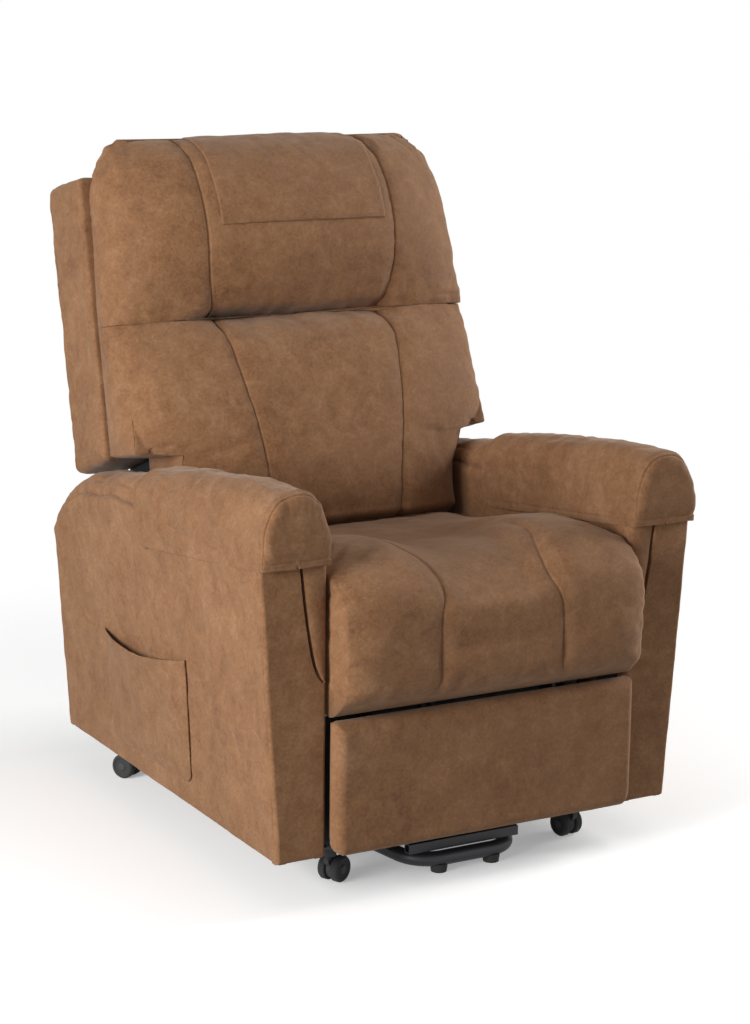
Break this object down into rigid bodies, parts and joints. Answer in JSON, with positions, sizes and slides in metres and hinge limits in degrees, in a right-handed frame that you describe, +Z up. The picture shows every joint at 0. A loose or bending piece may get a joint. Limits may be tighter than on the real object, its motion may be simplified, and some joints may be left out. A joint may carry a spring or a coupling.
{
  "type": "lift recliner chair",
  "caption": "Padded power lift and recline armchair on casters with a bow-nosed tubular lift base, scissor footrest and side pocket.",
  "frame": {"origin": "centre of the footprint box on the floor", "axes": "+Z up, the chair faces -Y, +X to the right as seen by someone looking at its front"},
  "size_m": [0.8075, 1.0036, 1.134],
  "materials": {
    "brown_microfibre": "brushed brown microfibre with a mottled nap",
    "black_lining": "thin black lining cloth over boards",
    "frame_wood": "plain plywood",
    "zinc_steel": "zinc plated",
    "black_steel": "black powder coat",
    "black_plastic": "moulded black plastic",
    "black_rubber": "black rubber"
  },
  "bodies": {
    "lift_base": {"base_hoop": "black_steel", "base_cross_tubes": "black_steel", "base_pivot_brackets": "black_steel", "base_feet": "black_rubber", "lift_actuator": "black_plastic"},
    "lift_arms": {"lift_arms": "black_steel"},
    "lift_stays": {"lift_stays": "black_steel"},
    "lift_rod": {"lift_actuator_rod": "zinc_steel"},
    "chassis": {"chassis_rails": "black_steel", "chassis_cross_tubes": "black_steel", "chassis_brackets": "black_steel", "arm_frame_left": "frame_wood", "arm_frame_right": "frame_wood", "arm_outer_panel_left": "brown_microfibre", "arm_outer_panel_right": "brown_microfibre", "arm_inner_panel_left": "brown_microfibre", "arm_inner_panel_right": "brown_microfibre", "arm_end_panels_left": "brown_microfibre", "arm_end_panels_right": "brown_microfibre", "armrest_pad_left": "brown_microfibre", "armrest_pad_right": "brown_microfibre", "armrest_cover_left": "brown_microfibre", "armrest_cover_right": "brown_microfibre", "caster_plates": "black_steel", "control_box": "black_plastic", "recline_actuator": "black_plastic", "side_pocket": "brown_microfibre"},
    "recline_rod": {"recline_actuator_rod": "zinc_steel"},
    "back": {"back_side_boards": "black_lining", "back_cross_rails": "frame_wood", "back_hinge_tube": "black_steel", "back_wing_left": "brown_microfibre", "back_wing_right": "brown_microfibre", "back_rear_panel": "brown_microfibre", "back_cushion_lower": "brown_microfibre", "back_cushion_upper": "brown_microfibre", "head_cover": "brown_microfibre"},
    "seat": {"seat_side_rails": "black_steel", "seat_cross_tubes": "black_steel", "seat_guide_plates": "black_steel", "seat_springs": "zinc_steel", "seat_cushion": "brown_microfibre", "footrest_actuator": "black_plastic"},
    "footrest_rod": {"footrest_actuator_rod": "zinc_steel"},
    "drive_arms": {"footrest_drive_arms": "black_steel"},
    "cross_arms": {"footrest_cross_arms": "black_steel"},
    "short_links": {"footrest_short_links": "black_steel"},
    "footrest": {"footrest_front_arms": "black_steel", "footrest_board": "frame_wood", "footrest_pad": "brown_microfibre"},
    "caster_fork_front_left": {"caster_fork_front_left": "black_plastic"},
    "caster_wheels_front_left": {"caster_wheels_front_left": "black_rubber"},
    "caster_fork_front_right": {"caster_fork_front_right": "black_plastic"},
    "caster_wheels_front_right": {"caster_wheels_front_right": "black_rubber"},
    "caster_fork_rear_left": {"caster_fork_rear_left": "black_plastic"},
    "caster_wheels_rear_left": {"caster_wheels_rear_left": "black_rubber"},
    "caster_fork_rear_right": {"caster_fork_rear_right": "black_plastic"},
    "caster_wheels_rear_right": {"caster_wheels_rear_right": "black_rubber"}
  },
  "joints": [
    {"name": "lift_raise", "type": "hinge", "parent": "lift_base", "child": "lift_arms", "pos_m": [0, 0.13422, 0.072], "axis": [-1, 0, 0], "range_deg": [0, 50]},
    {"name": "chair_tilt", "type": "hinge", "parent": "lift_arms", "child": "chassis", "pos_m": [0, -0.21078, 0.105], "axis": [-1, 0, 0], "range_deg": [-75, 0]},
    {"name": "stay_swing", "type": "hinge", "parent": "lift_base", "child": "lift_stays", "pos_m": [0, 0.00252, 0.1421], "axis": [-1, 0, 0], "range_deg": [0, 58.42]},
    {"name": "lift_rod_slide", "type": "slide", "parent": "lift_base", "child": "lift_rod", "axis": [0, 1, 0], "range_m": [0, 0.0524]},
    {"name": "back_recline", "type": "hinge", "parent": "chassis", "child": "back", "pos_m": [0, 0.19422, 0.33], "axis": [-1, 0, 0], "range_deg": [0, 38]},
    {"name": "seat_shift", "type": "hinge", "parent": "back", "child": "seat", "pos_m": [0, 0.19422, 0.27], "axis": [-1, 0, 0], "range_deg": [-33.01, 0]},
    {"name": "recline_rod_slide", "type": "slide", "parent": "chassis", "child": "recline_rod", "axis": [0, -1, 0], "range_m": [0, 0.0752]},
    {"name": "footrest_extend", "type": "hinge", "parent": "seat", "child": "drive_arms", "pos_m": [0, -0.34943, 0.26924], "axis": [-1, 0, 0], "range_deg": [0, 80]},
    {"name": "cross_arm_turn", "type": "hinge", "parent": "drive_arms", "child": "cross_arms", "pos_m": [0, -0.37247, 0.18327], "axis": [-1, 0, 0], "range_deg": [-160, 0]},
    {"name": "short_link_turn", "type": "hinge", "parent": "drive_arms", "child": "short_links", "pos_m": [0, -0.3955, 0.09731], "axis": [-1, 0, 0], "range_deg": [-160, 0]},
    {"name": "front_arm_turn", "type": "hinge", "parent": "short_links", "child": "footrest", "pos_m": [0, -0.38775, 0.18597], "axis": [-1, 0, 0], "range_deg": [0, 160]},
    {"name": "footrest_rod_slide", "type": "slide", "parent": "seat", "child": "footrest_rod", "axis": [0, -1, 0], "range_m": [0, 0.0612]},
    {"name": "caster_swivel_front_left", "type": "hinge", "parent": "chassis", "child": "caster_fork_front_left", "pos_m": [-0.232, -0.35578, 0.035], "axis": [0, 0, 1], "continuous": true},
    {"name": "caster_roll_front_left", "type": "hinge", "parent": "caster_fork_front_left", "child": "caster_wheels_front_left", "pos_m": [-0.22121, -0.35052, 0.022], "axis": [0.4384, -0.8988, 0], "continuous": true},
    {"name": "caster_swivel_front_right", "type": "hinge", "parent": "chassis", "child": "caster_fork_front_right", "pos_m": [0.232, -0.35578, 0.035], "axis": [0, 0, 1], "continuous": true},
    {"name": "caster_roll_front_right", "type": "hinge", "parent": "caster_fork_front_right", "child": "caster_wheels_front_right", "pos_m": [0.23033, -0.3439, 0.022], "axis": [0.9903, 0.1392, 0], "continuous": true},
    {"name": "caster_swivel_rear_left", "type": "hinge", "parent": "chassis", "child": "caster_fork_rear_left", "pos_m": [-0.3, 0.26422, 0.035], "axis": [0, 0, 1], "continuous": true},
    {"name": "caster_roll_rear_left", "type": "hinge", "parent": "caster_fork_rear_left", "child": "caster_wheels_rear_left", "pos_m": [-0.306, 0.27461, 0.022], "axis": [0.866, 0.5, 0], "continuous": true},
    {"name": "caster_swivel_rear_right", "type": "hinge", "parent": "chassis", "child": "caster_fork_rear_right", "pos_m": [0.3, 0.26422, 0.035], "axis": [0, 0, 1], "continuous": true},
    {"name": "caster_roll_rear_right", "type": "hinge", "parent": "caster_fork_rear_right", "child": "caster_wheels_rear_right", "pos_m": [0.3041, 0.27549, 0.022], "axis": [0.9397, -0.342, 0], "continuous": true}
  ],
  "couplings": [
    {"joint": "chair_tilt", "follows": "lift_raise", "ratio": -1.5},
    {"joint": "stay_swing", "follows": "lift_raise", "ratio": 1.1675},
    {"joint": "lift_rod_slide", "follows": "lift_raise", "m_per_rad": 0.059937},
    {"joint": "seat_shift", "follows": "back_recline", "ratio": -0.86842},
    {"joint": "recline_rod_slide", "follows": "back_recline", "m_per_rad": 0.11316},
    {"joint": "cross_arm_turn", "follows": "footrest_extend", "ratio": -2},
    {"joint": "short_link_turn", "follows": "footrest_extend", "ratio": -2},
    {"joint": "front_arm_turn", "follows": "footrest_extend", "ratio": 2},
    {"joint": "footrest_rod_slide", "follows": "footrest_extend", "m_per_rad": 0.043755}
  ]
}
